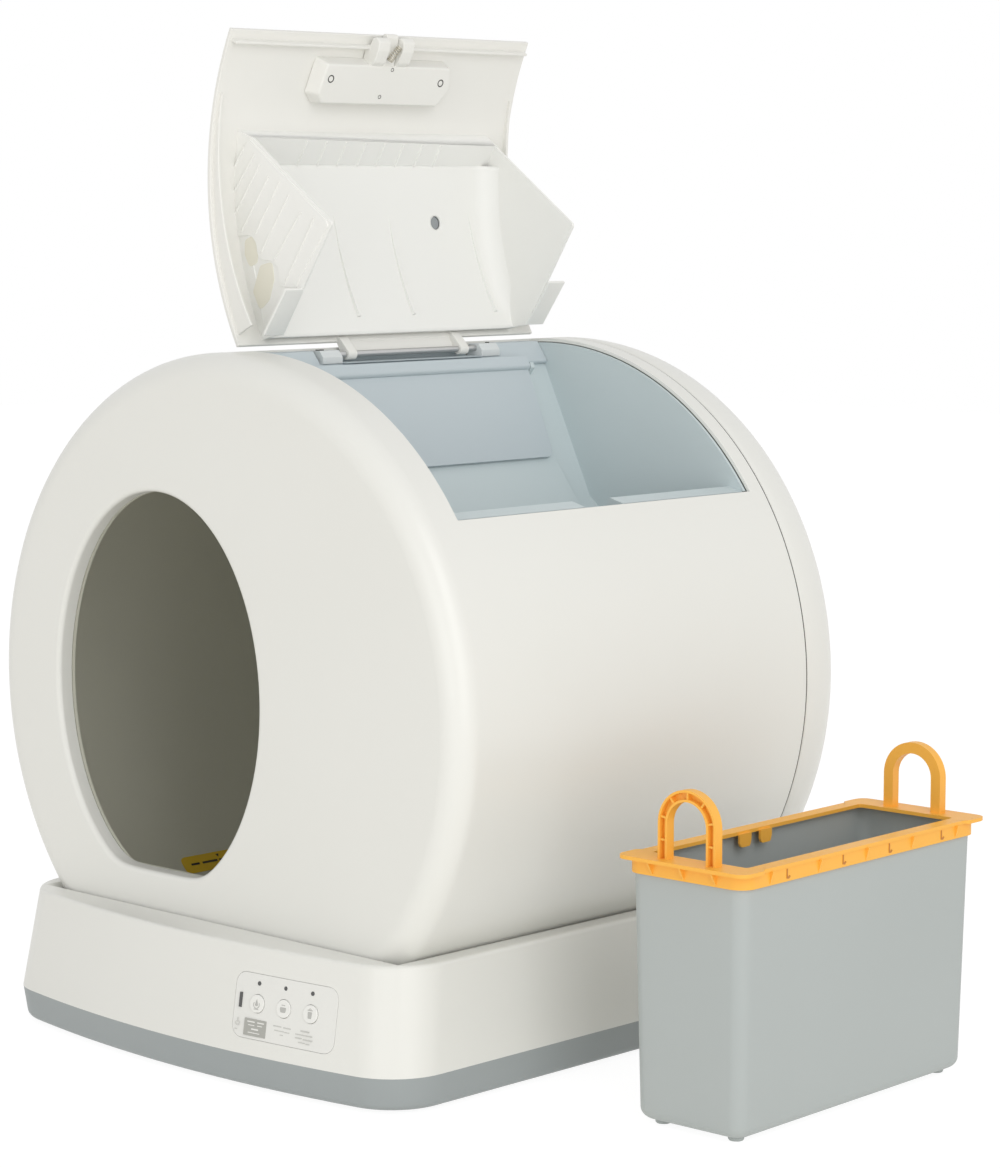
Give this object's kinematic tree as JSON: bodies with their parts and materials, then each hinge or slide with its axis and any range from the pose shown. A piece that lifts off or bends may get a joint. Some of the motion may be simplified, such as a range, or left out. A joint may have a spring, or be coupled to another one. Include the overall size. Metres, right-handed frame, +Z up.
{
  "type": "self-cleaning litter box",
  "caption": "Round drum litter box on a low base, with an oval front entry, an open hooded lid over its waste bay and a lift-out bin with an orange bag frame.",
  "frame": {"origin": "on the floor, below the drum's axis, at the middle of its length", "axes": "+X to the right seen from the front, +Y to the back, +Z up; the entry faces -Y"},
  "size_m": [0.6816, 0.4765, 0.7473],
  "materials": {
    "base_grey": "fine satin",
    "shell_white": "soft gloss",
    "foot_rubber": "matte",
    "screw_steel": "dull zinc",
    "panel_white": "gloss",
    "button_white": "gloss",
    "lens_clear": "clear",
    "board_green": "solder mask",
    "sensor_metal": "machined",
    "socket_black": "matte",
    "spindle_steel": "ground",
    "motor_metal": "zinc plated",
    "roller_rubber": "matte",
    "inner_grey": "satin",
    "bush_brass": "plain",
    "gear_plastic": "plain",
    "chamber_olive": "satin",
    "sticker_yellow": "printed film",
    "bay_grey": "satin",
    "flap_grey": "satin",
    "spring_steel": "plain wire",
    "sensor_dark": "matte",
    "latch_white": "satin",
    "bin_grey": "satin",
    "frame_orange": "satin"
  },
  "bodies": {
    "base": {"base_tray": "base_grey", "base_cover": "shell_white", "base_feet": "foot_rubber", "base_screws": "screw_steel", "control_panel": "panel_white", "indicator_lenses": "lens_clear", "control_board": "board_green", "main_board": "board_green", "load_cells": "sensor_metal", "power_socket": "socket_black", "rear_housing": "shell_white", "drum_spindle": "spindle_steel", "gear_motor": "motor_metal", "roller_forks": "base_grey", "roller_axles": "spindle_steel"},
    "drum": {"drum_shell": "shell_white", "drum_back": "inner_grey", "hub_bush": "bush_brass", "ring_gear": "gear_plastic", "litter_chamber": "chamber_olive", "litter_sieve": "chamber_olive", "fill_sticker": "sticker_yellow", "bay_liner": "bay_grey", "hinge_rail": "bay_grey", "hinge_rod": "spindle_steel", "hinge_brackets": "bay_grey", "bracket_screws": "screw_steel", "flap_ears": "bay_grey", "flap_pin": "spindle_steel"},
    "lid": {"lid_panel": "shell_white", "lid_hood": "shell_white", "latch_case": "shell_white", "latch_screws": "screw_steel", "latch_spring": "spring_steel", "level_sensor": "sensor_dark"},
    "flap": {"flap": "flap_grey"},
    "latch_bolt": {"latch_bolt": "latch_white"},
    "pinion": {"pinion": "gear_plastic"},
    "roller_left": {"roller_left": "roller_rubber"},
    "roller_right": {"roller_right": "roller_rubber"},
    "run_button": {"run_button": "button_white"},
    "level_button": {"level_button": "button_white"},
    "empty_button": {"empty_button": "button_white"},
    "waste_bin": {"waste_bin": "bin_grey"},
    "bag_frame": {"bag_frame": "frame_orange"}
  },
  "joints": [
    {"name": "drum_turn", "type": "hinge", "parent": "base", "child": "drum", "pos_m": [0, 0, 0.2646], "axis": [0, 1, 0], "range_deg": [-80, 40]},
    {"name": "lid_hinge", "type": "hinge", "parent": "drum", "child": "lid", "pos_m": [-0.01, 0, 0.509], "axis": [0, 1, 0], "range_deg": [0, 119]},
    {"name": "flap_swing", "type": "hinge", "parent": "drum", "child": "flap", "pos_m": [0.00817, 0, 0.49437], "axis": [0, 1, 0], "range_deg": [-55, 0]},
    {"name": "bolt_slide", "type": "slide", "parent": "lid", "child": "latch_bolt", "axis": [-0.309, 0, -0.9511], "range_m": [0, 0.004], "stiffness_N_per_m": 300},
    {"name": "pinion_spin", "type": "hinge", "parent": "base", "child": "pinion", "pos_m": [0.08875, 0, 0.11088], "axis": [0, 1, 0], "range_deg": [-280.6, 556.1]},
    {"name": "roller_left_spin", "type": "hinge", "parent": "base", "child": "roller_left", "pos_m": [-0.13115, 0, 0.03744], "axis": [0, 1, 0], "range_deg": [-838.3, 1671.7]},
    {"name": "roller_right_spin", "type": "hinge", "parent": "base", "child": "roller_right", "pos_m": [0.13115, 0, 0.03744], "axis": [0, 1, 0], "range_deg": [-838.3, 1671.7]},
    {"name": "run_button_press", "type": "slide", "parent": "base", "child": "run_button", "axis": [-0.1094, 0.9794, -0.1695], "range_m": [0, 0.0008], "stiffness_N_per_m": 500},
    {"name": "level_button_press", "type": "slide", "parent": "base", "child": "level_button", "axis": [-0.1094, 0.9794, -0.1695], "range_m": [0, 0.0008], "stiffness_N_per_m": 500},
    {"name": "empty_button_press", "type": "slide", "parent": "base", "child": "empty_button", "axis": [-0.1094, 0.9794, -0.1695], "range_m": [0, 0.0008], "stiffness_N_per_m": 500},
    {"name": "bin_lift", "type": "slide", "parent": "base", "child": "waste_bin", "axis": [0, 0, 1], "range_m": [0, 0.12]},
    {"name": "bag_frame_lift", "type": "slide", "parent": "waste_bin", "child": "bag_frame", "axis": [0, 0, 1], "range_m": [0, 0.06]}
  ],
  "couplings": [
    {"joint": "pinion_spin", "follows": "drum_turn", "ratio": -6.8889},
    {"joint": "roller_left_spin", "follows": "drum_turn", "ratio": -20.833},
    {"joint": "roller_right_spin", "follows": "drum_turn", "ratio": -20.833}
  ]
}
